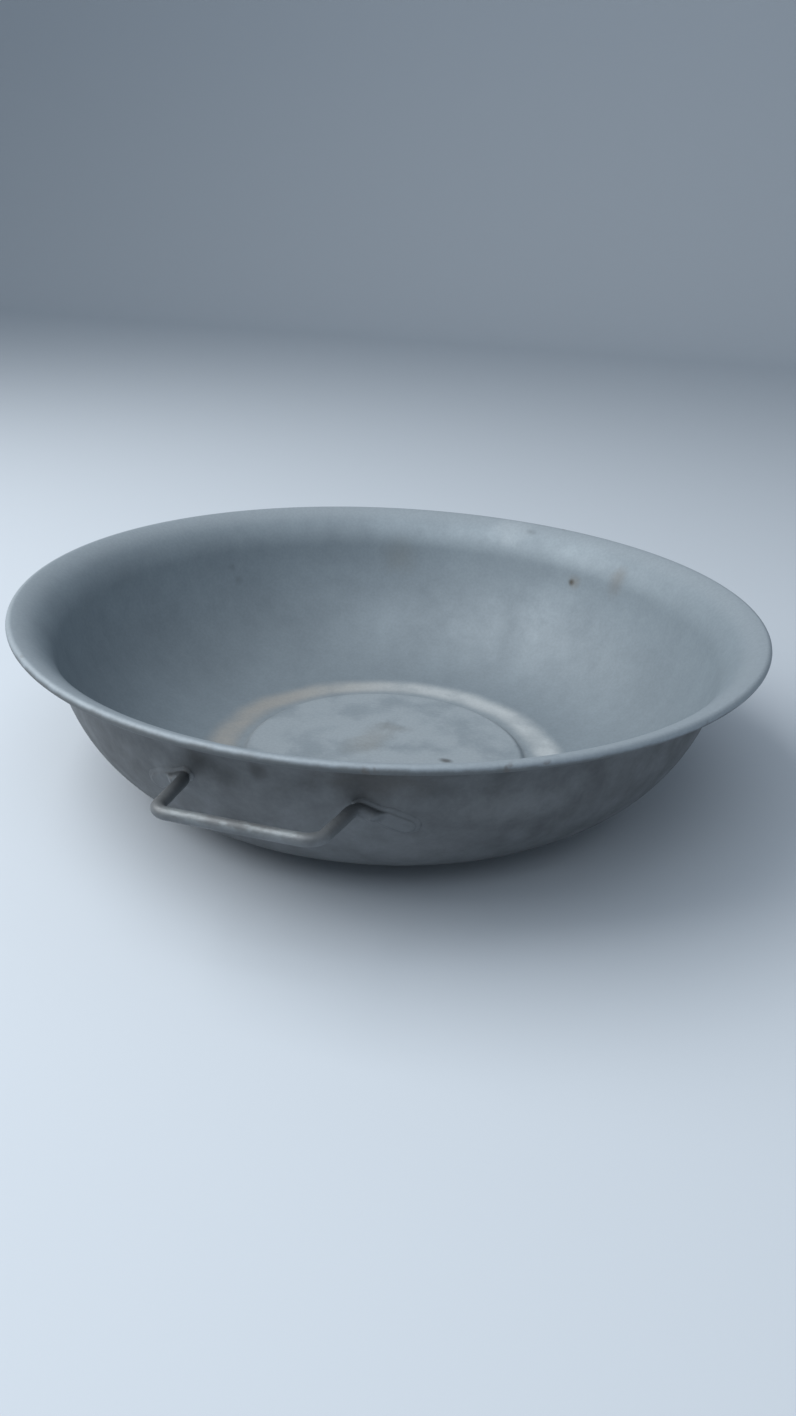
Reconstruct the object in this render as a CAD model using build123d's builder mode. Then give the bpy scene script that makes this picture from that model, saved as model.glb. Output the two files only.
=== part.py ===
"""Round galvanised steel basin with two fixed rod handles.

Frame: millimetres, +Z up, origin at the centre of the foot ring, on the plane that the basin
rests on. The front handle points along -Y and the rear handle along +Y.

Pieces: one pressed sheet shell, the wire that its rim is rolled around, and two bent rod
handles whose flattened feet are spot-welded to the wall under the lip.
"""

from build123d import *

import os
from math import asin, cos, degrees, radians, sin

# Sheet shell. Arcs are given at the middle of the sheet.
SHEET = 0.8  # sheet thickness, zinc coat included
DISC_R = 87.5  # flat middle of the base, raised above the foot ring
STEP_R = 4.0  # the two bends of the step between the disc and the foot ring
STEP_ANGLE = 52.0
FOOT_R = 105.0  # outer radius of the flat foot ring, where the wall starts to rise
WALL_ARCS = ((96.0, 40.0), (92.0, 26.0), (120.0, 14.1))  # radius and turn, from the foot up
LIP_R = 33.6  # outward curve of the flared lip
LIP_END = 20.0  # slope of the lip where the roll begins; it is still rising there

# Rolled rim
WIRE_D = 3.2
WIRE_GAP = 0.1  # play between the wire and the roll around it
ROLL_R = WIRE_D / 2 + WIRE_GAP + SHEET / 2
ROLL_WRAP = 260.0

# Handles
ROD_D = 6.5
WALL_SPAN = 83.0  # between the two bends at the wall
GRIP_SPAN = 77.0  # between the two corners of the grip
GRIP_REACH = 237.7  # basin axis to the middle of the grip
GRIP_Z = 79.8
BEND_HEADING = 76.5  # slope of the wall where a leg meets it
FOOT_HEADING = 68.9  # slope of the wall at the end of a foot
FOOT_OUT = 25.2  # how far a foot runs outwards from its bend, along the handle
WALL_BEND_R = 10.0
GRIP_BEND_R = 8.5
PAD_W = 8.5  # flattened foot
PAD_T = 3.4
PAD_BITE = 0.15  # how far a foot is set into the wall before it is cut to the wall's curve
PAD_EDGE_R = 1.3
TAPER_START = 9.0  # along the foot, where the round rod begins to flatten
TAPER_END = 19.0
FLAT_HALF_W = 3.4  # half the width of the rod's flattened core at the end of the taper


def sheet_segments():
    """The sheet's middle line from the axis outwards: lines as lengths, arcs as radius and turn."""
    step_run = 2 * STEP_R * sin(radians(STEP_ANGLE))
    lip_turn = sum(turn for _, turn in WALL_ARCS) - LIP_END
    return [
        DISC_R,
        (STEP_R, -STEP_ANGLE),
        (STEP_R, STEP_ANGLE),
        FOOT_R - DISC_R - step_run,
        *WALL_ARCS,
        (LIP_R, -lip_turn),
        (ROLL_R, -ROLL_WRAP),
    ]


def draw_sheet_face(rise):
    """Draw one face of the sheet, offset to the left of its middle line by rise; return its ends."""
    step_drop = 2 * STEP_R * (1 - cos(radians(STEP_ANGLE)))
    start = here = Vector(0, SHEET / 2 + step_drop + rise)
    heading = Vector(1, 0)
    for segment in sheet_segments():
        if isinstance(segment, tuple):
            radius, turn = segment
            offset_radius = radius - rise if turn > 0 else radius + rise
            drawn = JernArc(here, heading, offset_radius, turn)
        else:
            drawn = Line(here, here + heading * segment)
        here = drawn @ 1
        heading = drawn % 1
    return start, here


def wall_spot(heading):
    """Radius and height of the wall's outer face where it slopes at heading degrees."""
    r, z, slope = FOOT_R, SHEET / 2, 0.0
    for radius, turn in WALL_ARCS:
        end = min(slope + turn, heading)
        r += radius * (sin(radians(end)) - sin(radians(slope)))
        z += radius * (cos(radians(slope)) - cos(radians(end)))
        if end >= heading:
            break
        slope = end
    return r + SHEET / 2 * sin(radians(heading)), z - SHEET / 2 * cos(radians(heading))


def wall_point(heading, x):
    """Point on the outer face of the wall at the front, at that slope and that x."""
    r, z = wall_spot(heading)
    return Vector(x, -r * cos(asin(x / r)), z)


def wall_normal(heading, x):
    """Outward normal of the wall at wall_point(heading, x)."""
    r, _ = wall_spot(heading)
    level = sin(radians(heading))
    return Vector(level * x / r, -level * cos(asin(x / r)), -cos(radians(heading)))


def roll_centre():
    """Centre of the rim's roll, as radius and height."""
    lip_start = radians(sum(turn for _, turn in WALL_ARCS))
    lip_end = radians(LIP_END)
    r, z = wall_spot(degrees(lip_start))
    r += (LIP_R - SHEET / 2) * (sin(lip_start) - sin(lip_end))
    z += (LIP_R - SHEET / 2) * (cos(lip_end) - cos(lip_start))
    inset = ROLL_R - SHEET / 2
    return r + inset * sin(lip_end), z - inset * cos(lip_end)


# Pressed shell: raised base disc, foot ring, bowl wall, lip and rolled edge
with BuildPart() as basin_shell:
    with BuildSketch(Plane.XZ):
        with BuildLine():
            inner_start, inner_end = draw_sheet_face(SHEET / 2)
            outer_start, outer_end = draw_sheet_face(-SHEET / 2)
            Line(inner_start, outer_start)
            Line(inner_end, outer_end)
        make_face()
    revolve(axis=Axis.Z)
basin_shell.part.label = "basin_shell"

# Everything inside the wall's outer face, to cut the feet to the wall
with BuildPart() as wall_core:
    with BuildSketch(Plane.XZ):
        with BuildLine():
            here = Vector(FOOT_R, 0)
            heading = Vector(1, 0)
            for radius, turn in WALL_ARCS:
                wall_arc = JernArc(here, heading, radius + SHEET / 2, turn)
                here = wall_arc @ 1
                heading = wall_arc % 1
            Polyline(here, (0, here.Y), (0, 0), (FOOT_R, 0))
        make_face()
    revolve(axis=Axis.Z)

# Wire inside the rolled rim
roll_r, roll_z = roll_centre()
with BuildPart() as rim_wire:
    with BuildSketch(Plane.XZ):
        with Locations((roll_r, roll_z)):
            Circle(WIRE_D / 2)
    revolve(axis=Axis.Z)
rim_wire.part.label = "rim_wire"

# Front handle, drawn on its right half and mirrored where it repeats
bend_on_wall = wall_point(BEND_HEADING, WALL_SPAN / 2)
foot_on_wall = wall_point(FOOT_HEADING, WALL_SPAN / 2 + FOOT_OUT)
foot_run = foot_on_wall - bend_on_wall
foot_dir = foot_run.normalized()
foot_normal = wall_normal((BEND_HEADING + FOOT_HEADING) / 2, (WALL_SPAN + FOOT_OUT) / 2)
bend_corner = bend_on_wall + foot_normal * (ROD_D / 2)
grip_corner = Vector(GRIP_SPAN / 2, -GRIP_REACH, GRIP_Z)
rod_end = bend_corner + foot_dir * TAPER_START
right_side = [grip_corner, bend_corner, rod_end]
left_side = [Vector(-p.X, p.Y, p.Z) for p in reversed(right_side)]
pad_plane = Plane(
    origin=bend_on_wall - foot_normal * PAD_BITE, x_dir=foot_dir, z_dir=foot_normal
)

# The flattened end of a foot, with the taper that joins it to the round rod
tip_centre = foot_run.length - PAD_W / 2
round_end = Plane(origin=rod_end, x_dir=foot_normal, z_dir=foot_dir)
flat_centre = bend_on_wall + foot_dir * TAPER_END + foot_normal * (PAD_T / 2 - PAD_BITE)
flat_end = Plane(origin=flat_centre, x_dir=foot_normal, z_dir=foot_dir)
with BuildPart() as foot_pad:
    with BuildSketch(pad_plane):
        with Locations((TAPER_START, 0)):
            Circle(ROD_D / 2 - PAD_EDGE_R)
        with Locations((tip_centre, 0)):
            Circle(PAD_W / 2)
        make_hull()
    extrude(amount=PAD_T)
    pad_top = foot_pad.faces().sort_by(Axis(bend_on_wall, foot_normal))[-1]
    fillet(pad_top.edges(), PAD_EDGE_R)
    with BuildSketch(round_end):
        Circle(ROD_D / 2)
    with BuildSketch(flat_end):
        Ellipse(PAD_T / 2, FLAT_HALF_W)
    loft()

with BuildPart() as front_handle:
    with BuildLine() as rod_line:
        FilletPolyline(
            *left_side,
            *right_side,
            radius=(WALL_BEND_R, GRIP_BEND_R, GRIP_BEND_R, WALL_BEND_R),
        )
    with BuildSketch(Plane(origin=rod_line.line @ 0, z_dir=rod_line.line % 0)):
        Circle(ROD_D / 2)
    sweep(path=rod_line.line)
    add(foot_pad.part)
    add(mirror(foot_pad.part, about=Plane.YZ, mode=Mode.PRIVATE))
    add(wall_core.part, mode=Mode.SUBTRACT)
front_handle.part.label = "front_handle"

# The rear handle is the front one turned half a turn
with BuildPart() as rear_handle:
    add(front_handle.part, rotation=(0, 0, 180))
rear_handle.part.label = "rear_handle"

os.makedirs("parts", exist_ok=True)
for piece in (basin_shell, rim_wire, front_handle, rear_handle):
    export_step(piece.part, f"parts/{piece.part.label}.step")
    print(piece.part.label, len(piece.part.solids()), "solids", round(piece.part.volume), "mm3")
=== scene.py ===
"""Looks of the round galvanised basin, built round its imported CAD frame.

The bowl, the wire in its rim and the two rod handles are modelled again with the small faults of
a real dipped basin: a rim that isn't quite round, sheet that isn't quite even, and zinc that has
run into the corners round the handle feet. All sizes are in metres, in the frame of the CAD.
"""

import logging
import math
from contextlib import contextmanager
from dataclasses import dataclass
from enum import Enum
from typing import Any, Iterator, Sequence

import bpy
from mathutils import Matrix, Vector


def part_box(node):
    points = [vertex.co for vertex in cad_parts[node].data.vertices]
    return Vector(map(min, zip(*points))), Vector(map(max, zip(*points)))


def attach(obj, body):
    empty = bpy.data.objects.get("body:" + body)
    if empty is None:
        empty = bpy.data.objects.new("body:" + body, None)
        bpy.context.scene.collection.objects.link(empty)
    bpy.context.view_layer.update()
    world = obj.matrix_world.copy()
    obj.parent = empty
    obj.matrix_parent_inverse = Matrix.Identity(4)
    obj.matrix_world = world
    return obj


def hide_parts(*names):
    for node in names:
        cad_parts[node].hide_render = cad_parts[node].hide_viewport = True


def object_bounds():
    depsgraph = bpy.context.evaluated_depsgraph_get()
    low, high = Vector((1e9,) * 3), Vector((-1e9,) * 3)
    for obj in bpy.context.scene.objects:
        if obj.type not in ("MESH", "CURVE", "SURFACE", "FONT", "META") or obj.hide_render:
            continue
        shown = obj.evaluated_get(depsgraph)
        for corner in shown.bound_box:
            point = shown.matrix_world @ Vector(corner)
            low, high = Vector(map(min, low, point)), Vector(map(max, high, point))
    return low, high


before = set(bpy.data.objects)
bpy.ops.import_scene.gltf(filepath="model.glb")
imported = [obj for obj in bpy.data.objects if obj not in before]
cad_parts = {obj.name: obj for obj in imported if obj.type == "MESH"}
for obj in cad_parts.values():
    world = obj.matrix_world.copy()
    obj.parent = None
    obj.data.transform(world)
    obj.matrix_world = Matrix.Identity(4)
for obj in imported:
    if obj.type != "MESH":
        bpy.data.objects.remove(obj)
CAD_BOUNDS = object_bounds()

LOG = logging.getLogger("basin")
MM = 0.001
X_AXIS = Vector((1, 0, 0))
Z_AXIS = Vector((0, 0, 1))
ROUND_STEPS = 240
MERGE_GAP = 0.01 * MM
FOLD_ANGLE = math.radians(50)

Piece = bpy.types.Object
Colour = tuple[float, float, float, float]
Pair = tuple[float, float]
Triple = tuple[float, float, float]


# -------- modelling tools


@contextmanager
def edit_mode(obj: Piece) -> Iterator[None]:
    """Opens one object in edit mode and leaves it again.

    Args:
        obj: The mesh object to edit.
    """
    choose(obj)
    bpy.ops.object.mode_set(mode="EDIT")
    try:
        yield
    finally:
        bpy.ops.object.mode_set(mode="OBJECT")


def choose(*objects: Piece) -> None:
    """Selects these objects and nothing else; the first becomes the active one.

    Args:
        objects: The objects to select.
    """
    bpy.ops.object.select_all(action="DESELECT")
    for obj in objects:
        obj.select_set(True)
    if objects:
        bpy.context.view_layer.objects.active = objects[0]


def settle(obj: Piece) -> None:
    """Moves an object's place, turn and size into its mesh."""
    choose(obj)
    bpy.ops.object.transform_apply(location=True, rotation=True, scale=True)


def apply_modifier(obj: Piece, kind: str, **settings: Any) -> None:
    """Adds one modifier and applies it at once.

    Args:
        obj: The mesh object.
        kind: The modifier's type.
        settings: The modifier's own settings.
    """
    choose(obj)
    modifier = obj.modifiers.new(kind.title(), kind)
    for name, value in settings.items():
        setattr(modifier, name, value)
    bpy.ops.object.modifier_apply(modifier=modifier.name)


def shade(obj: Piece, crease: float) -> None:
    """Shades an object smooth, apart from folds sharper than the crease angle in radians."""
    choose(obj)
    bpy.ops.object.shade_smooth_by_angle(angle=crease)


def add_disc(sides: int, radius: float, place: Sequence[float], turn: Sequence[float]) -> Piece:
    """Adds a filled circle, to be drawn out into a rod or a foot.

    Args:
        sides: How many corners it has.
        radius: Its radius.
        place: Where its centre lies.
        turn: Its rotation, as Euler angles.

    Returns:
        The new object, settled at the origin.
    """
    bpy.ops.object.select_all(action="DESELECT")
    bpy.ops.mesh.primitive_circle_add(
        vertices=sides, radius=radius, fill_type="NGON", location=place, rotation=turn
    )
    disc = bpy.context.object
    settle(disc)
    return disc


def dent(obj: Piece, name: str, size: float, depth: float, rest: float, **settings: Any) -> None:
    """Makes a surface slightly uneven.

    Args:
        obj: The mesh object.
        name: What its texture is called.
        size: The size of the dents.
        depth: How far they reach.
        rest: The brightness of the texture that leaves the surface where it is.
        settings: Further settings of the modifier.
    """
    clouds = bpy.data.textures.new(name, "CLOUDS")
    clouds.noise_scale = size
    settings |= {"texture": clouds, "texture_coords": "LOCAL", "strength": depth, "mid_level": rest}
    apply_modifier(obj, "DISPLACE", **settings)


def face_outwards() -> None:
    """Turns all normals of the mesh in edit mode outwards."""
    bpy.ops.mesh.select_all(action="SELECT")
    bpy.ops.mesh.normals_make_consistent(inside=False)


def spin_on(steps: int, turn: float, centre: Vector, axis: Vector) -> None:
    """Spins the selected end on, right-handed about an axis. The operator itself counts the other way.

    Args:
        steps: How many stretches the arc has.
        turn: The angle in radians.
        centre: A point on the axis.
        axis: The direction of the axis.
    """
    bpy.ops.mesh.spin(steps=steps, angle=-turn, center=centre, axis=axis)


def extrude_by(step: Vector) -> None:
    """Extrudes the selection by a step and leaves the new end selected."""
    bpy.ops.mesh.extrude_region_move(TRANSFORM_OT_translate={"value": step})


def sine(angle: float) -> float:
    """The sine of an angle in degrees."""
    return math.sin(math.radians(angle))


def cosine(angle: float) -> float:
    """The cosine of an angle in degrees."""
    return math.cos(math.radians(angle))


def level(x: float, low: float, high: float) -> float:
    """A smooth step from 0, where x is low, to 1, where it is high."""
    t = min(max((x - low) / (high - low), 0.0), 1.0)
    return t * t * (3 - 2 * t)


# -------- the section of the sheet


@dataclass(frozen=True)
class Run:
    """A straight stretch of the sheet's section."""

    length: float
    steps: int


@dataclass(frozen=True)
class Arc:
    """A round stretch of the sheet's section. A positive turn bends it upwards, in degrees."""

    radius: float
    turn: float
    steps: int


@dataclass(frozen=True)
class Section:
    """The section of the pressed sheet, from the axis out to the rolled edge."""

    sheet: float = 0.8 * MM
    disc_r: float = 87.5 * MM
    step_r: float = 4.0 * MM
    step_angle: float = 52.0
    foot_r: float = 105.0 * MM
    wall: tuple[Arc, ...] = (
        Arc(96 * MM, 40, 12),
        Arc(92 * MM, 26, 9),
        Arc(120 * MM, 14.1, 6),
    )
    lip_r: float = 33.6 * MM
    lip_end: float = 20.0
    wire_d: float = 3.2 * MM
    wire_gap: float = 0.1 * MM
    roll_wrap: float = 260.0

    @property
    def roll_r(self) -> float:
        """Radius of the rolled edge, at the middle of the sheet."""
        return self.wire_d / 2 + self.wire_gap + self.sheet / 2

    @property
    def disc_z(self) -> float:
        """Height of the raised disc, at the middle of the sheet."""
        return self.sheet / 2 + 2 * self.step_r * (1 - cosine(self.step_angle))

    def stretches(self) -> list[Run | Arc]:
        """The section as runs and arcs.

        Returns:
            The stretches in order, from the axis to the rolled edge.
        """
        step_run = 2 * self.step_r * sine(self.step_angle)
        lip_turn = sum(arc.turn for arc in self.wall) - self.lip_end
        return [
            Run(self.disc_r, 14),
            Arc(self.step_r, -self.step_angle, 6),
            Arc(self.step_r, self.step_angle, 6),
            Run(self.foot_r - self.disc_r - step_run, 3),
            *self.wall,
            Arc(self.lip_r, -lip_turn, 16),
            Arc(self.roll_r, -self.roll_wrap, 18),
        ]

    def wall_spot(self, heading: float) -> Pair:
        """Finds the wall's outer face where it slopes at a heading.

        Args:
            heading: The slope of the wall in degrees, 0 at the foot ring.

        Returns:
            The radius and the height of that spot.
        """
        r, z, slope = self.foot_r, self.sheet / 2, 0.0
        for arc in self.wall:
            end = min(slope + arc.turn, heading)
            r += arc.radius * (sine(end) - sine(slope))
            z += arc.radius * (cosine(slope) - cosine(end))
            slope = end
        face = self.sheet / 2
        return r + face * sine(heading), z - face * cosine(heading)

    def wall_point(self, heading: float, x: float) -> Vector:
        """A point on the front of the wall's outer face, at that slope and that x."""
        r, z = self.wall_spot(heading)
        return Vector((x, -math.sqrt(r * r - x * x), z))

    def wall_normal(self, heading: float, x: float) -> Vector:
        """The outward normal of the wall at wall_point(heading, x)."""
        r, _ = self.wall_spot(heading)
        flat = sine(heading)
        return Vector((flat * x / r, -flat * math.sqrt(1 - (x / r) ** 2), -cosine(heading)))

    def roll_centre(self) -> Pair:
        """Radius and height of the centre of the rolled edge."""
        lip_start = sum(arc.turn for arc in self.wall)
        r, z = self.wall_spot(lip_start)
        reach = self.lip_r - self.sheet / 2
        r += reach * (sine(lip_start) - sine(self.lip_end))
        z += reach * (cosine(self.lip_end) - cosine(lip_start))
        inset = self.roll_r - self.sheet / 2
        return r + inset * sine(self.lip_end), z - inset * cosine(self.lip_end)


# -------- node tools


class NodeSheet:
    """Adds nodes to one tree and joins them."""

    def __init__(self, tree: bpy.types.NodeTree) -> None:
        """Starts on the tree of a material or of a group."""
        self.tree = tree

    def add(self, kind: str, inputs: dict[str | int, Any] | None = None, **settings: Any) -> Any:
        """Adds a node, sets it up and joins its inputs.

        Args:
            kind: The node's type, such as ShaderNodeTexNoise.
            inputs: Input name or number to a value or to the socket that feeds it.
            settings: The node's own settings.

        Returns:
            The new node.
        """
        node = self.tree.nodes.new(kind)
        node.location = (len(self.tree.nodes) * 180, 0)
        for name, value in settings.items():
            setattr(node, name, value)
        for name, value in (inputs or {}).items():
            if isinstance(value, bpy.types.NodeSocket):
                self.tree.links.new(value, node.inputs[name])
            else:
                node.inputs[name].default_value = value
        return node

    def math(self, operation: str, a: Any, b: Any = 0.0, clamp: bool = False) -> Any:
        """The socket of one step of arithmetic; clamp keeps it between 0 and 1."""
        return self.add("ShaderNodeMath", {0: a, 1: b}, operation=operation, use_clamp=clamp).outputs[0]

    def times(self, first: Any, *others: Any) -> Any:
        """The socket of the product of some values."""
        for other in others:
            first = self.math("MULTIPLY", first, other)
        return first

    def minus(self, a: Any, b: Any) -> Any:
        """The socket of a value less another."""
        return self.math("SUBTRACT", a, b)

    def vector(self, operation: str, a: Any, b: Any = (0, 0, 0)) -> Any:
        """The socket of one step of arithmetic with vectors: a value for a length, else a vector."""
        outputs = self.add("ShaderNodeVectorMath", {0: a, 1: b}, operation=operation).outputs
        return outputs["Value" if operation == "LENGTH" else "Vector"]

    def off_axis(self, where: Any) -> Any:
        """The socket of the distance from the basin's axis."""
        return self.vector("LENGTH", self.vector("MULTIPLY", where, (1, 1, 0)))

    def dim(self, colour: Any, share: Any) -> Any:
        """The socket of a colour multiplied by a value."""
        grey = self.add("ShaderNodeCombineColor", {0: share, 1: share, 2: share}).outputs[0]
        return self.mix(1.0, colour, grey, "MULTIPLY")

    def mix(self, share: Any, a: Any, b: Any, blend: str = "MIX") -> Any:
        """Mixes two colours.

        Args:
            share: How much of the second colour, from 0 to 1.
            a: The first colour or socket.
            b: The second colour or socket.
            blend: The way of mixing.

        Returns:
            The socket of the mixed colour.
        """
        node = self.add("ShaderNodeMix", data_type="RGBA", blend_type=blend)
        for index, value in ((0, share), (6, a), (7, b)):
            if isinstance(value, bpy.types.NodeSocket):
                self.tree.links.new(value, node.inputs[index])
            else:
                node.inputs[index].default_value = value
        return node.outputs[2]

    def ramp(self, value: Any, low: float, high: float, to: Pair = (0, 1)) -> Any:
        """Maps a value smoothly from a range to another range.

        Args:
            value: The socket to map.
            low: Where the range begins; it may be above high.
            high: Where the range ends.
            to: The range of the result.

        Returns:
            The socket of the result.
        """
        node = self.add(
            "ShaderNodeMapRange",
            {"Value": value, "From Min": low, "From Max": high, "To Min": to[0], "To Max": to[1]},
            interpolation_type="SMOOTHSTEP",
        )
        return node.outputs["Result"]

    def noise(self, where: Any, scale: Any, detail: float = 3.0, rough: float = 0.5) -> Any:
        """The socket of noise with so many cells a metre, and about 0.5 in the mean."""
        inputs = {"Vector": where, "Scale": scale, "Detail": detail, "Roughness": rough}
        return self.add("ShaderNodeTexNoise", inputs).outputs[0]


class Socket(Enum):
    """The kinds of socket that the groups have."""

    VALUE = "NodeSocketFloat"
    VECTOR = "NodeSocketVector"


@dataclass
class EffectGroup:
    """A shader node group that several finishes share. It is built the first time it is used.

    It takes vectors and values by name, and gives values.
    """

    name: str
    vectors: tuple[str, ...]
    values: tuple[str, ...]
    outputs: tuple[str, ...] = ("Mask",)
    tree: bpy.types.NodeTree | None = None

    def wire(self, sheet: NodeSheet, given: Any) -> dict[str, Any]:
        """Adds the group's nodes.

        Args:
            sheet: The group's own tree.
            given: The outputs of its input node, by name.

        Returns:
            Output name to the socket that feeds it.
        """
        raise NotImplementedError

    def build(self) -> bpy.types.NodeTree:
        """Makes the tree with its sockets and nodes.

        Returns:
            The finished group.
        """
        tree = bpy.data.node_groups.new(self.name, "ShaderNodeTree")
        for way, kind, names in (
            ("INPUT", Socket.VECTOR, self.vectors),
            ("INPUT", Socket.VALUE, self.values),
            ("OUTPUT", Socket.VALUE, self.outputs),
        ):
            for name in names:
                tree.interface.new_socket(name, in_out=way, socket_type=kind.value)
        sheet = NodeSheet(tree)
        given = sheet.add("NodeGroupInput").outputs
        sheet.add("NodeGroupOutput", self.wire(sheet, given))
        return tree

    def place(self, sheet: NodeSheet, **inputs: Any) -> Any:
        """Places the group in a material.

        Args:
            sheet: The material's tree.
            inputs: Input name, with underscores for spaces, to a value or a socket.

        Returns:
            The outputs of the placed group.
        """
        if self.tree is None:
            self.tree = self.build()
        named = {name.replace("_", " "): value for name, value in inputs.items()}
        return sheet.add("ShaderNodeGroup", named, node_tree=self.tree).outputs


class ZincClouds(EffectGroup):
    """Soft cloudy blotches of weathered zinc, with a fine grain and a height for the bump."""

    def wire(self, sheet: NodeSheet, given: Any) -> dict[str, Any]:
        """Adds three sizes of noise; see EffectGroup.wire."""
        where, scale = given["Vector"], given["Scale"]
        broad = sheet.noise(where, scale, 3, 0.5)
        middle = sheet.noise(where, sheet.times(scale, 4.3), 4, 0.55)
        fine = sheet.noise(where, sheet.times(scale, 30), 3, 0.6)
        total = sheet.math("ADD", sheet.times(broad, 0.55), sheet.times(middle, 0.45))
        spread = sheet.times(sheet.minus(total, 0.5), given["Contrast"])
        clouds = sheet.math("ADD", spread, 0.5, clamp=True)
        height = sheet.math("ADD", sheet.times(middle, 0.7), sheet.times(fine, 0.3))
        return {"Clouds": clouds, "Grain": sheet.ramp(fine, 0.3, 0.7), "Height": height}


class RingMask(EffectGroup):
    """A soft ring round the axis, with a wobbly edge."""

    def wire(self, sheet: NodeSheet, given: Any) -> dict[str, Any]:
        """Measures the distance from the axis; see EffectGroup.wire."""
        drift = sheet.minus(sheet.noise(given["Vector"], 22.0, 4, 0.6), 0.5)
        radius = sheet.math("ADD", sheet.off_axis(given["Vector"]), sheet.times(drift, given["Wobble"]))
        off = sheet.math("ABSOLUTE", sheet.minus(radius, given["Radius"]))
        past = sheet.minus(off, given["Half Width"])
        share = sheet.math("DIVIDE", past, given["Softness"], clamp=True)
        return {"Mask": sheet.ramp(share, 1.0, 0.0)}


class SpotMask(EffectGroup):
    """A soft round spot with a ragged edge. Its stretch is set by the scale of its axes."""

    def wire(self, sheet: NodeSheet, given: Any) -> dict[str, Any]:
        """Measures the distance from the spot; see EffectGroup.wire."""
        away = sheet.vector("SUBTRACT", given["Vector"], given["Centre"])
        distance = sheet.vector("LENGTH", sheet.vector("MULTIPLY", away, given["Squeeze"]))
        share = sheet.math("DIVIDE", distance, given["Size"])
        ragged = sheet.minus(sheet.noise(given["Vector"], 120.0, 4, 0.6), 0.5)
        share = sheet.math("ADD", share, sheet.times(ragged, given["Ragged"]))
        return {"Mask": sheet.ramp(share, 1.0, 0.1)}


CLOUDS = ZincClouds("zinc_clouds", ("Vector",), ("Scale", "Contrast"), ("Clouds", "Grain", "Height"))
RING = RingMask("ring_mask", ("Vector",), ("Radius", "Half Width", "Softness", "Wobble"))
SPOT = SpotMask("spot_mask", ("Vector", "Centre", "Squeeze"), ("Size", "Ragged"))


@dataclass(frozen=True)
class Ring:
    """A ring of another tone round the axis of the bowl."""

    radius: float
    half_width: float
    softness: float
    wobble: float

    def mask(self, sheet: NodeSheet, where: Any) -> Any:
        """The socket of the ring's share at each place, from 0 to 1."""
        return RING.place(
            sheet,
            Vector=where,
            Radius=self.radius,
            Half_Width=self.half_width,
            Softness=self.softness,
            Wobble=self.wobble,
        )["Mask"]


@dataclass(frozen=True)
class Mark:
    """A spot or smudge on the zinc; some marks are painted patches of light or of shade."""

    centre: Triple
    size: float
    colour: Colour
    strength: float
    squeeze: Triple = (1, 1, 1)
    ragged: float = 0.5

    def mask(self, sheet: NodeSheet, where: Any) -> Any:
        """The socket of the mark's share at each place, from 0 to its strength."""
        spot = SPOT.place(
            sheet,
            Vector=where,
            Centre=self.centre,
            Squeeze=self.squeeze,
            Size=self.size,
            Ragged=self.ragged,
        )
        return sheet.times(spot["Mask"], self.strength)


def on_wall(azimuth: float, radius: float, height: float) -> Triple:
    """A place by its azimuth in degrees, and its radius and height in millimetres."""
    return radius * MM * cosine(azimuth), radius * MM * sine(azimuth), height * MM


@dataclass(frozen=True)
class ZincFinish:
    """Weathered zinc: two tones of cloudy patina, with a soft gloss and a fine grain."""

    name: str
    dark: Colour
    light: Colour
    metallic: float = 0.2
    rough: Pair = (0.68, 0.52)
    cloud_scale: float = 17.0
    contrast: float = 2.2
    grain: float = 0.035
    bump: float = 0.12
    bump_depth: float = 0.3 * MM
    marks: tuple[Mark, ...] = ()

    def material(self) -> bpy.types.Material:
        """Builds the material.

        Returns:
            The finished material.
        """
        material = bpy.data.materials.new(self.name)
        material.use_nodes = True
        material.node_tree.nodes.clear()
        sheet = NodeSheet(material.node_tree)
        where = sheet.add("ShaderNodeTexCoord").outputs["Object"]
        clouds = CLOUDS.place(sheet, Vector=where, Scale=self.cloud_scale, Contrast=self.contrast)
        colour = sheet.mix(clouds["Clouds"], self.dark, self.light)
        colour = self.dress(sheet, where, colour)
        for mark in self.marks:
            colour = sheet.mix(mark.mask(sheet, where), colour, mark.colour)
        speck = sheet.ramp(clouds["Grain"], 0, 1, (1 - self.grain, 1 + self.grain))
        colour = sheet.dim(colour, speck)
        rough = sheet.ramp(clouds["Clouds"], 0, 1, self.rough)
        bump = sheet.add(
            "ShaderNodeBump",
            {"Strength": self.bump, "Distance": self.bump_depth, "Height": clouds["Height"]},
        ).outputs[0]
        shader = sheet.add(
            "ShaderNodeBsdfPrincipled",
            {"Base Color": colour, "Roughness": rough, "Metallic": self.metallic, "Normal": bump},
        )
        sheet.add("ShaderNodeOutputMaterial", {"Surface": shader.outputs[0]})
        return material

    def dress(self, sheet: NodeSheet, where: Any, colour: Any) -> Any:
        """Adds what only this finish has; the plain zinc has nothing more.

        Args:
            sheet: The material's tree.
            where: The object coordinates.
            colour: The colour so far.

        Returns:
            The socket of the new colour.
        """
        return colour


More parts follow.
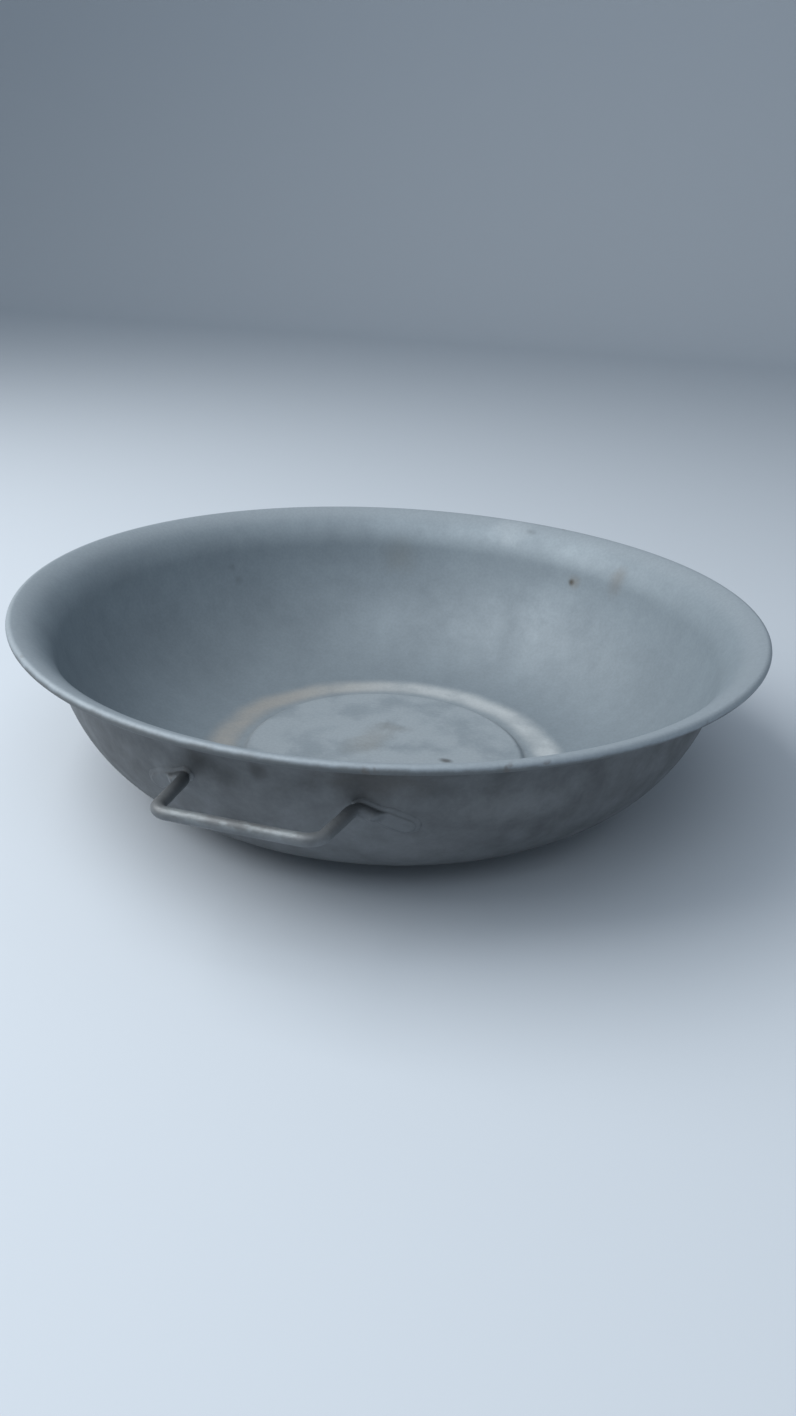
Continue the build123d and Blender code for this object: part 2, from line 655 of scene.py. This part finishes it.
@dataclass(frozen=True)
class InsideZinc(ZincFinish):
    """The inside of the bowl: limescale round the base, a painted shadow line at its step, a lip painted
    lighter as a highlight, and painted shade low down and under the rolled edge.
    """

    # Painted shade low in the bowl and painted light high on the wall: the colour is scaled by height.
    climb: Pair = (30 * MM, 85 * MM)
    shade_to_light: Pair = (0.94, 1.12)
    disc: Colour = (0.35, 0.395, 0.43, 1)
    disc_ring: Ring = Ring(0.0, 86 * MM, 16 * MM, 6 * MM)
    disc_shares: Pair = (0.25, 0.65)
    lime_cool: Colour = (0.45, 0.485, 0.505, 1)
    lime_warm: Colour = (0.31, 0.31, 0.3, 1)
    lime_side: float = 15.0
    lime_turn: Pair = (-90 * MM, 50 * MM)
    lime_ring: Ring = Ring(107.5 * MM, 2 * MM, 12.5 * MM, 9 * MM)
    lime_shares: Pair = (0.65, 0.95)
    # Painted shadow: a dark line where the raised disc steps down.
    line: Colour = (0.15, 0.16, 0.165, 1)
    step_shadow_ring: Ring = Ring(91.5 * MM, 0.6 * MM, 4 * MM, 3 * MM)
    step_shadow_share: float = 0.25
    # Painted highlight: the lip is painted lighter towards its top.
    lip: Colour = (0.3, 0.345, 0.385, 1)
    lip_highlight_z: Pair = (99 * MM, 108 * MM)
    lip_highlight_share: float = 0.55
    edge_r: Pair = (220 * MM, 223 * MM)
    edge_ragged: float = 2.4 * MM
    # Painted shade under the rolled edge.
    under_shade: Colour = (0.09, 0.097, 0.1, 1)
    under_shade_z: Pair = (107 * MM, 104.6 * MM)
    under_shade_share: float = 0.85
    rust: Colour = (0.105, 0.09, 0.078, 1)
    rust_z: Pair = (108.5 * MM, 106 * MM)
    rust_share: float = 0.5

    def dress(self, sheet: NodeSheet, where: Any, colour: Any) -> Any:
        """Adds painted shade low down and painted light higher up, the base disc, the limescale, a
        painted shadow line at the step, a painted highlight on the lip, and its edge; see
        ZincFinish.dress.
        """
        axes = sheet.add("ShaderNodeSeparateXYZ", {0: where}).outputs
        # Painted shade low down and painted light higher up.
        colour = sheet.dim(colour, sheet.ramp(axes[2], *self.climb, self.shade_to_light))
        patchy = sheet.ramp(sheet.noise(where, 30.0, 4, 0.55), 0.3, 0.62)
        disc = sheet.times(self.disc_ring.mask(sheet, where), sheet.ramp(patchy, 0, 1, self.disc_shares))
        colour = sheet.mix(disc, colour, self.disc)
        along, beside = cosine(self.lime_side), sine(self.lime_side)
        across = sheet.math("ADD", sheet.times(axes[0], along), sheet.times(axes[1], beside))
        tone = sheet.mix(sheet.ramp(across, *self.lime_turn), self.lime_warm, self.lime_cool)
        lime = sheet.times(self.lime_ring.mask(sheet, where), sheet.ramp(patchy, 0, 1, self.lime_shares))
        colour = sheet.mix(lime, colour, tone)
        # Painted shadow line at the disc's step.
        line = sheet.times(self.step_shadow_ring.mask(sheet, where), self.step_shadow_share)
        colour = sheet.mix(line, colour, self.line)
        # Painted highlight on the lip.
        lip = sheet.times(sheet.ramp(axes[2], *self.lip_highlight_z), self.lip_highlight_share)
        colour = sheet.mix(lip, colour, self.lip)
        return self.dress_edge(sheet, where, colour, axes[2])

    def dress_edge(self, sheet: NodeSheet, where: Any, colour: Any, z: Any) -> Any:
        """Paints shade under the rolled edge and adds a few rusty chips.

        Args:
            sheet: The material's tree.
            where: The object coordinates.
            colour: The colour so far.
            z: The height.

        Returns:
            The socket of the new colour.
        """
        edge = sheet.ramp(sheet.off_axis(where), *self.edge_r)
        height = sheet.minus(z, sheet.times(sheet.noise(where, 90.0, 4, 0.6), self.edge_ragged))
        # Painted shade under the rolled edge.
        under_shade = sheet.times(edge, sheet.ramp(height, *self.under_shade_z), self.under_shade_share)
        colour = sheet.mix(under_shade, colour, self.under_shade)
        chips = sheet.ramp(sheet.noise(where, 75.0, 3, 0.55), 0.62, 0.68)
        chips = sheet.times(chips, sheet.ramp(height, *self.rust_z), edge, self.rust_share)
        return sheet.mix(chips, colour, self.rust)


@dataclass(frozen=True)
class OutsideZinc(ZincFinish):
    """The outside of the bowl: darker than the inside, as painted shade, with faint streaks that run
    down the wall.
    """

    streak: Colour = (0.075, 0.08, 0.083, 1)
    streak_share: float = 0.5

    def dress(self, sheet: NodeSheet, where: Any, colour: Any) -> Any:
        """Adds the streaks; see ZincFinish.dress."""
        drawn = sheet.vector("MULTIPLY", where, (1, 1, 0.3))
        streaks = sheet.ramp(sheet.noise(drawn, 48.0, 5, 0.6), 0.5, 0.75)
        return sheet.mix(sheet.times(streaks, self.streak_share), colour, self.streak)


@dataclass(frozen=True)
class RodZinc(OutsideZinc):
    """The handle rod: the outside's zinc, lighter in patches along the top of the grip."""

    grip_patch: Colour = (0.215, 0.242, 0.257, 1)
    grip_patch_share: float = 0.85
    grip_patch_y: Pair = (231 * MM, 234 * MM)
    grip_patch_x: Pair = (36 * MM, 27 * MM)
    grip_patch_z: Pair = (77 * MM, 80.5 * MM)

    def dress(self, sheet: NodeSheet, where: Any, colour: Any) -> Any:
        """Adds the lighter patches; see ZincFinish.dress."""
        colour = super().dress(sheet, where, colour)
        axes = sheet.add("ShaderNodeSeparateXYZ", {0: where}).outputs
        reach = sheet.ramp(sheet.math("ABSOLUTE", axes[1]), *self.grip_patch_y)
        middle = sheet.ramp(sheet.math("ABSOLUTE", axes[0]), *self.grip_patch_x)
        upper = sheet.ramp(axes[2], *self.grip_patch_z)
        drawn = sheet.vector("MULTIPLY", where, (0.5, 1, 1))
        patches = sheet.ramp(sheet.noise(drawn, 150.0, 4, 0.6), 0.4, 0.62)
        grip_patch = sheet.times(reach, middle, upper, patches, self.grip_patch_share)
        return sheet.mix(grip_patch, colour, self.grip_patch)


INSIDE = InsideZinc(
    "zinc_inside",
    dark=(0.175, 0.213, 0.245, 1),
    light=(0.232, 0.28, 0.318, 1),
    contrast=1.7,
    marks=(
        Mark(on_wall(62.6, 198.3, 77), 3.6 * MM, (0.02, 0.018, 0.016, 1), 1.0, ragged=0.2),
        Mark(on_wall(62.0, 198.3, 78), 8 * MM, (0.19, 0.18, 0.16, 1), 0.45),
        Mark(on_wall(51.3, 201.1, 89), 15 * MM, (0.17, 0.17, 0.165, 1), 0.5, (1.5, 1.5, 0.8)),
        Mark(on_wall(104, 197.5, 76), 20 * MM, (0.19, 0.215, 0.225, 1), 0.5),
        Mark(on_wall(143.6, 197.6, 74), 4 * MM, (0.11, 0.13, 0.145, 1), 0.35),
        Mark(on_wall(142.6, 194.5, 64), 5 * MM, (0.11, 0.13, 0.145, 1), 0.35),
        Mark(on_wall(75.6, 211.7, 104), 7 * MM, (0.16, 0.19, 0.21, 1), 0.6, (1, 1, 2.4)),
        # Painted sunlight: two soft pale patches on the right of the inside wall and lip.
        Mark(on_wall(66, 194, 60), 26 * MM, (0.36, 0.42, 0.47, 1), 0.2, ragged=1.0),
        Mark(on_wall(80, 212, 104), 22 * MM, (0.42, 0.47, 0.51, 1), 0.25, ragged=1.0),
        Mark((-10 * MM, 14 * MM, 4 * MM), 22 * MM, (0.25, 0.26, 0.255, 1), 0.4, (1.4, 0.7, 1), 0.9),
        Mark((-4 * MM, 32 * MM, 4 * MM), 12 * MM, (0.17, 0.18, 0.18, 1), 0.35, (0.6, 1.4, 1), 1.0),
        Mark((-18 * MM, -1 * MM, 4 * MM), 16 * MM, (0.22, 0.23, 0.225, 1), 0.35, (1, 0.8, 1), 1.0),
        Mark((42 * MM, -3 * MM, 4 * MM), 5 * MM, (0.07, 0.07, 0.07, 1), 0.8, (0.8, 1.2, 1), 0.4),
    ),
)
# Painted shade: the outside zinc is darker than the inside zinc.
OUTSIDE = OutsideZinc(
    "zinc_outside",
    dark=(0.074, 0.08, 0.085, 1),
    light=(0.165, 0.179, 0.191, 1),
    cloud_scale=15.0,
    contrast=2.6,
    marks=(
        Mark(on_wall(268.9, 201, 88), 7 * MM, (0.05, 0.052, 0.053, 1), 0.7, (1, 1, 0.8), 0.7),
        Mark(on_wall(259.6, 201, 87), 9 * MM, (0.055, 0.057, 0.058, 1), 0.7, (1, 1, 0.7), 0.7),
        Mark(on_wall(304, 197, 72), 24 * MM, (0.21, 0.225, 0.235, 1), 0.45, (0.6, 0.6, 1.5), 1.2),
        # Painted shadow: a dark patch just under the lip at the front.
        Mark(on_wall(285, 203, 90), 24 * MM, (0.07, 0.066, 0.062, 1), 0.6, (0.6, 0.6, 1.3), 1.0),
        Mark(on_wall(291.5, 184.4, 40), 26 * MM, (0.2, 0.21, 0.22, 1), 0.4, (0.7, 0.7, 1.4), 1.2),
    ),
)
ROD = RodZinc(
    "zinc_rod",
    dark=(0.092, 0.1, 0.107, 1),
    light=OUTSIDE.light,
    metallic=0.35,
    rough=(0.6, 0.42),
    cloud_scale=OUTSIDE.cloud_scale,
    contrast=OUTSIDE.contrast,
    bump=0.3,
)
WIRE = ZincFinish(
    "dull_wire",
    dark=(0.08, 0.08, 0.08, 1),
    light=(0.18, 0.175, 0.17, 1),
    metallic=0.8,
    cloud_scale=120.0,
)


# -------- pieces


def draw_line(name: str, start: Vector, stretches: Sequence[Run | Arc]) -> Piece:
    """Draws runs and arcs in the plane of X and Z, outwards from one vertex.

    Args:
        name: What the object is called.
        start: Where the line starts.
        stretches: The runs and arcs, in order.

    Returns:
        The object that holds the line, with its far end selected.
    """
    here, heading = start, 0.0
    bpy.ops.object.select_all(action="DESELECT")
    bpy.ops.mesh.primitive_plane_add(size=1 * MM, location=here)
    line = bpy.context.object
    line.name = name
    settle(line)
    with edit_mode(line):
        bpy.ops.mesh.select_all(action="SELECT")
        bpy.ops.mesh.merge(type="CENTER")
        for stretch in stretches:
            along = Vector((math.cos(heading), 0, math.sin(heading)))
            left = Vector((-along.z, 0, along.x))
            if isinstance(stretch, Run):
                for _ in range(stretch.steps):
                    extrude_by(along * stretch.length / stretch.steps)
                here = here + along * stretch.length
                continue
            turn = math.radians(stretch.turn)
            centre = here + left * math.copysign(stretch.radius, turn)
            spin_on(stretch.steps, turn, centre, Vector((0, -1, 0)))
            here = centre + Matrix.Rotation(-turn, 3, "Y") @ (here - centre)
            heading += turn
    return line


def spin_closed(line: Piece, sides: int) -> None:
    """Spins a line once round the Z axis and merges what meets.

    Args:
        line: The object that holds the line.
        sides: How many steps the turn has.
    """
    with edit_mode(line):
        bpy.ops.mesh.select_all(action="SELECT")
        spin_on(sides, math.tau, Vector(), Z_AXIS)
        bpy.ops.mesh.select_all(action="SELECT")
        bpy.ops.mesh.remove_doubles(threshold=MERGE_GAP)
        face_outwards()


@dataclass
class Warp:
    """The slight warp that the whole basin has taken. It only pulls inwards and downwards."""

    pull: float = 1.0 * MM
    pull_side: float = math.radians(195)
    dip: float = 2.4 * MM
    high_side: float = math.radians(170)
    start: float = 0.38
    cells: int = 8
    layers: int = 7
    cage: Piece | None = None

    def build(self) -> None:
        """Makes the cage of control points that carries the warp."""
        low, high = (Vector(corner) for corner in CAD_BOUNDS)
        size = high - low
        bpy.ops.object.select_all(action="DESELECT")
        bpy.ops.object.add(type="LATTICE", location=(low + high) / 2)
        self.cage = bpy.context.object
        self.cage.scale = size
        grid = self.cage.data
        grid.points_u = grid.points_v = self.cells
        grid.points_w = self.layers
        for point in grid.points:
            x, y, z = point.co
            share = level(z + 0.5, self.start, 1.0)
            azimuth = math.atan2(y * size.y, x * size.x)
            inwards = self.pull * share * max(0.0, math.cos(azimuth - self.pull_side))
            sag = self.dip * share * (0.5 - 0.5 * math.cos(2 * (azimuth - self.high_side)))
            move = Vector((-math.cos(azimuth) * inwards, -math.sin(azimuth) * inwards, -sag))
            point.co_deform = point.co + Vector((move.x / size.x, move.y / size.y, move.z / size.z))
        bpy.context.view_layer.update()

    def bend(self, piece: Piece) -> None:
        """Gives a finished piece the warp."""
        apply_modifier(piece, "LATTICE", object=self.cage)

    def remove(self) -> None:
        """Takes the cage out of the scene."""
        bpy.data.objects.remove(self.cage)


@dataclass
class Bowl:
    """The pressed sheet: disc, foot ring, wall, lip and rolled edge."""

    section: Section
    warp: Warp
    sides: int = ROUND_STEPS
    uneven: float = 0.5 * MM
    uneven_size: float = 55 * MM
    fade: float = 6 * MM
    crease: float = math.radians(40)

    def build(self) -> Piece:
        """Models the bowl.

        Returns:
            The finished mesh object.
        """
        start = Vector((0, 0, self.section.disc_z))
        bowl = draw_line("bowl", start, self.section.stretches())
        spin_closed(bowl, self.sides)
        middle = min(bowl.data.polygons, key=lambda face: face.center.xy.length)
        if middle.normal.z < 0:
            with edit_mode(bowl):
                bpy.ops.mesh.select_all(action="SELECT")
                bpy.ops.mesh.flip_normals()
        self.roughen(bowl)
        bowl.data.materials.append(INSIDE.material())
        bowl.data.materials.append(OUTSIDE.material())
        sheet = self.section.sheet
        apply_modifier(
            bowl, "SOLIDIFY", thickness=sheet, offset=0.0, material_offset=1, material_offset_rim=1
        )
        self.warp.bend(bowl)
        shade(bowl, self.crease)
        return bowl

    def roughen(self, bowl: Piece) -> None:
        """Makes the sheet slightly uneven, but not at the foot ring and not at the rim.

        Args:
            bowl: The mesh object, before it gets its thickness.
        """
        group = bowl.vertex_groups.new(name="panel")
        _, rim_z = self.section.roll_centre()
        for vertex in bowl.data.vertices:
            z = vertex.co.z
            lift = level(z, self.section.sheet, self.section.sheet + self.fade)
            top = 1 - level(z, rim_z - 3 * self.fade, rim_z - self.fade)
            group.add([vertex.index], lift * top, "REPLACE")
        dent(bowl, "uneven_sheet", self.uneven_size, self.uneven, 0.5, vertex_group=group.name)
        bowl.vertex_groups.clear()


@dataclass
class RimWire:
    """The wire inside the rolled edge, bent to a ring whose ends meet in a butt joint."""

    section: Section
    warp: Warp
    sides: int = ROUND_STEPS
    wire_sides: int = 12
    joint_gap: float = 0.8 * MM

    def build(self) -> Piece:
        """Models the wire.

        Returns:
            The finished mesh object.
        """
        r, z = self.section.roll_centre()
        wire = add_disc(self.wire_sides, self.section.wire_d / 2, (0, r, z), (0, math.pi / 2, 0))
        wire.name = "rim_wire_ring"
        with edit_mode(wire):
            bpy.ops.mesh.select_all(action="SELECT")
            spin_on(self.sides, math.tau - self.joint_gap / r, Vector(), Z_AXIS)
            face_outwards()
        self.warp.bend(wire)
        shade(wire, FOLD_ANGLE)
        wire.data.materials.append(WIRE.material())
        return wire


class Side(Enum):
    """The two ends of a handle."""

    LEFT = -1
    RIGHT = 1


@dataclass
class Station:
    """One cross-section of a foot: its centre and its size across and off the wall."""

    centre: Vector
    width: float
    thickness: float


@dataclass
class RodHandle:
    """One bent rod with flattened feet, fused to the wall by the zinc that ran in round them."""

    section: Section
    rod_d: float = 6.5 * MM
    wall_span: float = 83.0 * MM
    grip_span: float = 77.0 * MM
    grip_reach: float = 237.5 * MM
    grip_z: float = 79.8 * MM
    bend_heading: float = 76.5
    foot_heading: float = 68.9
    foot_out: float = 25.2 * MM
    bend_radii: tuple[float, ...] = (10 * MM, 8 * MM, 9 * MM, 10 * MM)
    pad_w: float = 8.5 * MM
    pad_t: float = 1.8 * MM
    pad_edge: float = 0.6 * MM
    core_share: float = 0.88
    core_back: float = 0.02
    taper: Pair = (8.8 * MM, 18.0 * MM)
    bite: float = 1.2 * MM
    skirt: float = 3.2 * MM
    skirt_t: float = 1.6 * MM
    skirt_start: float = -2 * MM
    skirt_stations: int = 16
    rod_sides: int = 32
    bend_steps: int = 10
    voxel: float = 0.4 * MM
    lumps: float = 0.18 * MM
    lump_size: float = 5 * MM

    def build(self) -> Piece:
        """Models the front handle.

        Returns:
            The finished mesh object.
        """
        pieces = [self.bend_rod()]
        for side in Side:
            pieces += [self.foot_core(side), self.foot_pad(side), self.zinc_skirt(side)]
        choose(*pieces)
        bpy.ops.object.join()
        handle = pieces[0]
        handle.name = "front_handle_rod"
        apply_modifier(handle, "REMESH", mode="VOXEL", voxel_size=self.voxel, use_smooth_shade=True)
        apply_modifier(handle, "SMOOTH", factor=0.5, iterations=7)
        dent(handle, "zinc_lumps", self.lump_size, self.lumps, 0.75)
        core = self.wall_core()
        apply_modifier(handle, "BOOLEAN", object=core, operation="DIFFERENCE", solver="EXACT")
        bpy.data.objects.remove(core)
        handle.data.materials.clear()
        handle.data.materials.append(ROD.material())
        shade(handle, FOLD_ANGLE)
        return handle

    def wall_core(self) -> Piece:
        """Everything inside the middle of the bowl's sheet, to trim the feet with.

        Returns:
            The closed mesh object.
        """
        wall = [Run(self.section.foot_r, 1), *self.section.wall]
        core = draw_line("wall_core", Vector((0, 0, self.section.sheet / 2)), wall)
        top = max((vertex.co for vertex in core.data.vertices), key=lambda co: co.z)
        with edit_mode(core):
            extrude_by(Vector((-top.x, 0, 0)))
        spin_closed(core, ROUND_STEPS)
        return core

    def copy_to_rear(self, front: Piece) -> Piece:
        """Copies the handle half a turn round, with a mesh of its own.

        Args:
            front: The front handle, before it is warped.

        Returns:
            The rear handle.
        """
        choose(front)
        bpy.ops.object.duplicate(linked=False)
        rear = bpy.context.object
        rear.name = "rear_handle_rod"
        rear.rotation_euler = (0, 0, math.pi)
        settle(rear)
        return rear

    def foot_spot(self, side: Side, share: float) -> tuple[Vector, Vector]:
        """A place along the middle of a foot, on the wall.

        Args:
            side: Which foot.
            share: 0 at the bend, 1 at the tip.

        Returns:
            The point on the wall's outer face, and the wall's normal there.
        """
        heading = self.bend_heading + (self.foot_heading - self.bend_heading) * share
        x = side.value * (self.wall_span / 2 + self.foot_out * share)
        return self.section.wall_point(heading, x), self.section.wall_normal(heading, x)

    def foot_axes(self, side: Side) -> Matrix:
        """The foot's own directions: across it, off the wall and along it, as columns."""
        start, _ = self.foot_spot(side, 0)
        end, _ = self.foot_spot(side, 1)
        _, off = self.foot_spot(side, 0.5)
        along = (end - start).normalized()
        across = off.cross(along).normalized()
        return Matrix((across, along.cross(across), along)).transposed()

    def foot_length(self) -> float:
        """Length of a foot from its bend to its tip."""
        return (self.foot_spot(Side.RIGHT, 1)[0] - self.foot_spot(Side.RIGHT, 0)[0]).length

    def bend_rod(self) -> Piece:
        """Bends the round rod from one foot to the other.

        Returns:
            The rod as a closed mesh.
        """
        points: list[Vector] = []
        for side in Side:
            axes = self.foot_axes(side)
            corner, _ = self.foot_spot(side, 0)
            corner = corner + axes.col[1] * (self.rod_d / 2)
            end = corner + axes.col[2] * self.taper[0]
            grip = Vector((side.value * self.grip_span / 2, -self.grip_reach, self.grip_z))
            points += [end, corner, grip] if side is Side.LEFT else [grip, corner, end]
        here, heading = points[0], (points[1] - points[0]).normalized()
        rod = add_disc(self.rod_sides, self.rod_d / 2, here, heading.to_track_quat("Z", "Y").to_euler())
        with edit_mode(rod):
            bpy.ops.mesh.select_all(action="SELECT")
            for corner, after, radius in zip(points[1:-1], points[2:], self.bend_radii):
                onward = (after - corner).normalized()
                turn = heading.angle(onward)
                tangent = radius * math.tan(turn / 2)
                axis = heading.cross(onward).normalized()
                extrude_by(corner - heading * tangent - here)
                here = corner - heading * tangent
                spin_on(self.bend_steps, turn, here + axis.cross(heading) * radius, axis)
                here, heading = corner + onward * tangent, onward
            extrude_by(points[-1] - here)
            face_outwards()
        return rod

    def train(self, side: Side, stations: Sequence[Station], sides: int, turn: float = 0.0) -> Piece:
        """Extrudes a section through a row of stations, all at right angles to the foot.

        Args:
            side: Which foot.
            stations: The sections, from the bend to the tip.
            sides: How many corners the section has.
            turn: How far the section's first corner is turned, in radians.

        Returns:
            The closed mesh object.
        """
        axes = self.foot_axes(side)
        first = stations[0]
        turned = (axes @ Matrix.Rotation(turn, 3, "Z")).to_euler()
        obj = add_disc(sides, first.width / 2, first.centre, turned)
        here, width, thickness = first.centre, first.width, first.width
        with edit_mode(obj):
            bpy.ops.mesh.select_all(action="SELECT")
            for station in stations:
                if station is not first:
                    extrude_by(station.centre - here)
                bpy.ops.transform.resize(
                    value=(station.width / width, station.thickness / thickness, 1),
                    orient_type="GLOBAL",
                    orient_matrix=axes,
                    orient_matrix_type="GLOBAL",
                    center_override=station.centre,
                )
                here, width, thickness = station.centre, station.width, station.thickness
            face_outwards()
        return obj

    def foot_core(self, side: Side) -> Piece:
        """The taper from the round rod to the flat foot.

        Args:
            side: Which foot.

        Returns:
            The mesh object.
        """
        length = self.foot_length()
        begin, end = (reach / length for reach in self.taper)
        stations = []
        for step in range(9):
            share = step / 8
            flat = level(share, 0, 1)
            thickness = self.rod_d + (self.pad_t - self.rod_d) * flat
            width = self.rod_d + (self.pad_w * self.core_share - self.rod_d) * flat
            spot, normal = self.foot_spot(side, begin + (end - begin) * share - self.core_back)
            stations.append(Station(spot + normal * thickness / 2, width, thickness))
        return self.train(side, stations, self.rod_sides)

    def foot_pad(self, side: Side) -> Piece:
        """The flat end of a foot, round at its tip.

        Args:
            side: Which foot.

        Returns:
            The mesh object.
        """
        length = self.foot_length()
        square = math.sqrt(2)
        stations = []
        tip = self.pad_w / 2
        reaches = [self.taper[0] + (length - tip - self.taper[0]) * step / 5 for step in range(6)]
        reaches += [length - tip + tip * math.sin(math.pi / 2 * step / 6) for step in range(1, 7)]
        for reach in reaches:
            grown = level(reach, *self.taper)
            width = self.pad_w * (0.6 + 0.4 * grown)
            past = max(0.0, reach - (length - tip)) / tip
            width *= math.sqrt(max(1 - past * past, 0.02))
            spot, normal = self.foot_spot(side, reach / length)
            thickness = self.pad_t + self.bite
            lift = normal * (thickness / 2 - self.bite)
            stations.append(Station(spot + lift, width * square, thickness * square))
        pad = self.train(side, stations, 4, math.pi / 4)
        apply_modifier(
            pad, "BEVEL", width=self.pad_edge, segments=3, limit_method="ANGLE", angle_limit=0.9
        )
        return pad

    def zinc_skirt(self, side: Side) -> Piece:
        """The zinc that has run into the corner between a foot and the wall.

        Args:
            side: Which foot.

        Returns:
            The mesh object.
        """
        length = self.foot_length()
        start, stop = self.skirt_start, length + self.skirt
        narrow = self.rod_d * 0.55
        stations = []
        for step in range(self.skirt_stations + 1):
            share = 0.5 - 0.5 * math.cos(math.pi * step / self.skirt_stations)
            reach = start + (stop - start) * share
            grown = level(reach, *self.taper)
            widest = narrow + (self.pad_w - narrow) * grown + 2 * self.skirt
            edge = min(reach - start, stop - reach) / (widest / 2)
            round_off = math.sqrt(max(1 - (1 - min(edge, 1)) ** 2, 0.01))
            spot, normal = self.foot_spot(side, reach / length)
            thickness = self.skirt_t * (0.4 + 0.6 * round_off) + 2 * self.bite
            stations.append(Station(spot - normal * self.bite / 2, widest * round_off, thickness))
        return self.train(side, stations, 24)


@dataclass(frozen=True)
class Lamp:
    """One soft square light."""

    name: str
    place: Vector
    size: float
    power: float
    colour: Triple

    def hang(self, aim: Vector) -> None:
        """Hangs the lamp and turns it to a point.

        Args:
            aim: The point that it shines on.
        """
        bpy.ops.object.light_add(type="AREA", location=self.place)
        lamp = bpy.context.object
        lamp.name = self.name
        lamp.data.size = self.size
        lamp.data.energy = self.power
        lamp.data.color = self.colour
        lamp.rotation_euler = (aim - self.place).to_track_quat("-Z", "Y").to_euler()


@dataclass(frozen=True)
class Studio:
    """The pale floor that sweeps up behind the basin, the sky and the soft lights."""

    floor_colour: Colour = (0.55, 0.605, 0.668, 1)
    floor_near: float = 2.2
    floor_far: float = 2.6
    floor_half: float = 4.0
    floor_rough: float = 0.85
    wall_height: float = 2.6
    sweep_r: float = 0.9
    sweep_steps: int = 16
    sky: Colour = (0.80, 0.90, 1.0, 1)
    sky_strength: float = 0.34
    lamp_aim: Vector = Vector((0, 0, 0.05))
    lamps: tuple[Lamp, ...] = (
        Lamp("key_light", Vector((-1.05, -0.35, 1.3)), 1.5, 30.0, (1.0, 0.99, 0.97)),
        Lamp("fill_light", Vector((0.1, -1.0, 1.75)), 1.6, 13.0, (0.9, 0.95, 1.0)),
    )

    def build(self) -> None:
        """Builds the floor, the lights and the sky."""
        self.floor()
        for lamp in self.lamps:
            lamp.hang(self.lamp_aim)
        world = bpy.data.worlds.new("soft_sky")
        world.use_nodes = True
        background = world.node_tree.nodes["Background"]
        background.inputs["Color"].default_value = self.sky
        background.inputs["Strength"].default_value = self.sky_strength
        bpy.context.scene.world = world
        view = bpy.context.scene.view_settings
        view.view_transform = "Standard"
        view.look = "None"

    def floor(self) -> None:
        """Lays the floor and sweeps its far edge up."""
        bpy.ops.object.select_all(action="DESELECT")
        bpy.ops.mesh.primitive_plane_add(size=1, location=(0, (self.floor_far - self.floor_near) / 2, 0))
        floor = bpy.context.object
        floor.name = "floor"
        floor.scale = (2 * self.floor_half, self.floor_far + self.floor_near, 1)
        settle(floor)
        for vertex in floor.data.vertices:
            vertex.select = vertex.co.y > 0
        for edge in floor.data.edges:
            edge.select = all(floor.data.vertices[i].select for i in edge.vertices)
        for face in floor.data.polygons:
            face.select = False
        with edit_mode(floor):
            spin_on(self.sweep_steps, math.pi / 2, Vector((0, self.floor_far, self.sweep_r)), X_AXIS)
            extrude_by(Vector((0, 0, self.wall_height)))
        choose(floor)
        bpy.ops.object.shade_smooth()
        floor.data.materials.append(self.floor_finish())

    def floor_finish(self) -> bpy.types.Material:
        """A plain pale matt floor.

        Returns:
            The material.
        """
        material = bpy.data.materials.new("pale_floor")
        material.use_nodes = True
        shader = material.node_tree.nodes["Principled BSDF"]
        shader.inputs["Base Color"].default_value = self.floor_colour
        shader.inputs["Roughness"].default_value = self.floor_rough
        return material


@dataclass
class ViewCamera:
    """The camera, held by where the middle of the rim lies in its view."""

    azimuth: float = 14.9
    tilt: float = 24.57
    roll: float = 2.66
    lens: float = 26.95
    sensor: float = 36.0
    target_z: float = 105.5 * MM
    depth: float = 0.6537
    right_of_axis: float = -4.4 * MM
    above_axis: float = 65.9 * MM

    def build(self) -> None:
        """Places the camera and makes it the scene's."""
        turn = Matrix.Rotation(math.radians(self.azimuth), 3, "Z")
        forward = turn @ Vector((0, cosine(self.tilt), -sine(self.tilt)))
        level_right = turn @ X_AXIS
        level_up = level_right.cross(forward)
        right = level_right * cosine(self.roll) + level_up * sine(self.roll)
        up = level_up * cosine(self.roll) - level_right * sine(self.roll)
        place = Vector((0, 0, self.target_z)) - (
            right * self.right_of_axis + up * self.above_axis + forward * self.depth
        )
        bpy.ops.object.camera_add()
        camera = bpy.context.object
        camera.name = "camera"
        turned = Matrix((right, up, -forward)).transposed().to_4x4()
        camera.matrix_world = Matrix.Translation(place) @ turned
        camera.data.lens = self.lens
        camera.data.sensor_width = self.sensor
        bpy.context.scene.camera = camera


# -------- putting it together


def stand_for(piece: Piece, node: str) -> None:
    """Puts a finished piece in the place of its CAD node.

    Args:
        piece: The finished mesh object.
        node: The CAD node that it stands for.
    """
    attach(piece, "root")
    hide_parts(node)
    piece.data.calc_loop_triangles()
    low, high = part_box(node)
    LOG.info("%s for %s: %d triangles", piece.name, node, len(piece.data.loop_triangles))
    LOG.info("  CAD box %s to %s mm", *(tuple(round(c * 1000, 1) for c in p) for p in (low, high)))


def main() -> None:
    """Builds the studio and every piece, in order."""
    logging.basicConfig(level=logging.INFO, format="%(name)s: %(message)s")
    section = Section()
    Studio().build()
    ViewCamera().build()
    warp = Warp()
    warp.build()
    stand_for(Bowl(section, warp).build(), "basin_shell")
    stand_for(RimWire(section, warp).build(), "rim_wire")
    maker = RodHandle(section)
    front = maker.build()
    rear = maker.copy_to_rear(front)
    for handle, node in ((front, "front_handle"), (rear, "rear_handle")):
        warp.bend(handle)
        stand_for(handle, node)
    warp.remove()


if __name__ == "__main__":
    main()
